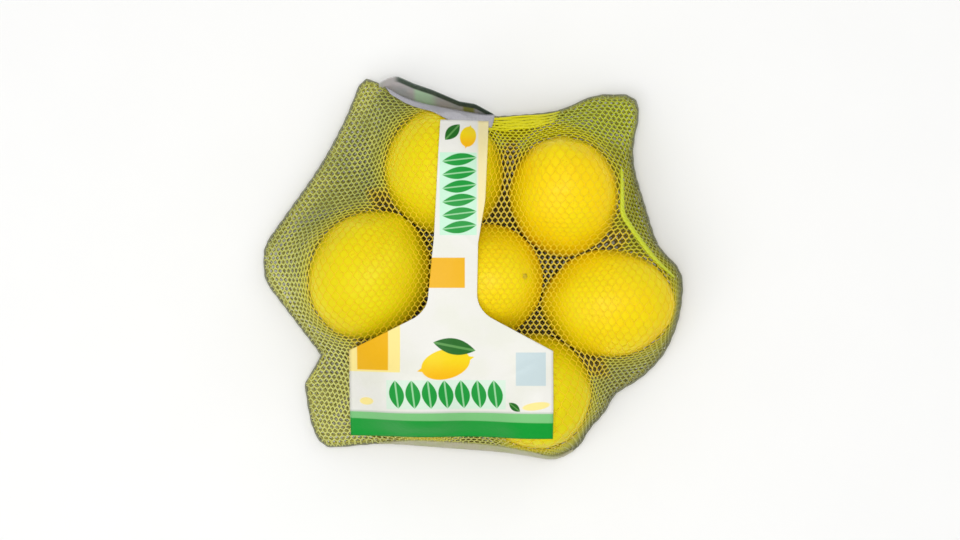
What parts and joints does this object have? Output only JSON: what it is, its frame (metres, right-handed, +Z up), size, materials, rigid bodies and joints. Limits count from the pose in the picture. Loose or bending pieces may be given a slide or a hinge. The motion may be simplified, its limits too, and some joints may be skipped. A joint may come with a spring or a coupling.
{
  "type": "net bag of lemons",
  "caption": "Net bag of lemons lying flat: a knitted net drawn over one layer of fruit and welded at both ends, with a film label on the front and a film strip behind.",
  "frame": {"origin": "on the table, under the middle of the bag's bounding box", "axes": "+Z up out of the table, through the shown front of the bag; +X across the label, to its right; +Y along the label's strip, towards the top weld"},
  "size_m": [0.2199, 0.2033, 0.0647],
  "materials": {
    "net": "yellow-green polyethylene net strands, satin, partly see-through",
    "lemon_rind": "waxy lemon rind, satin, finely pored",
    "lemon_stem": "dry stem end, matte",
    "label_film": "white printed film with green and yellow fields, semi-gloss",
    "back_film": "milky grey-green film, semi-gloss, dark green printed margin"
  },
  "bodies": {
    "root": {"net_bag": "net", "front_label": "label_film", "back_film": "back_film"}
  },
  "joints": []
}
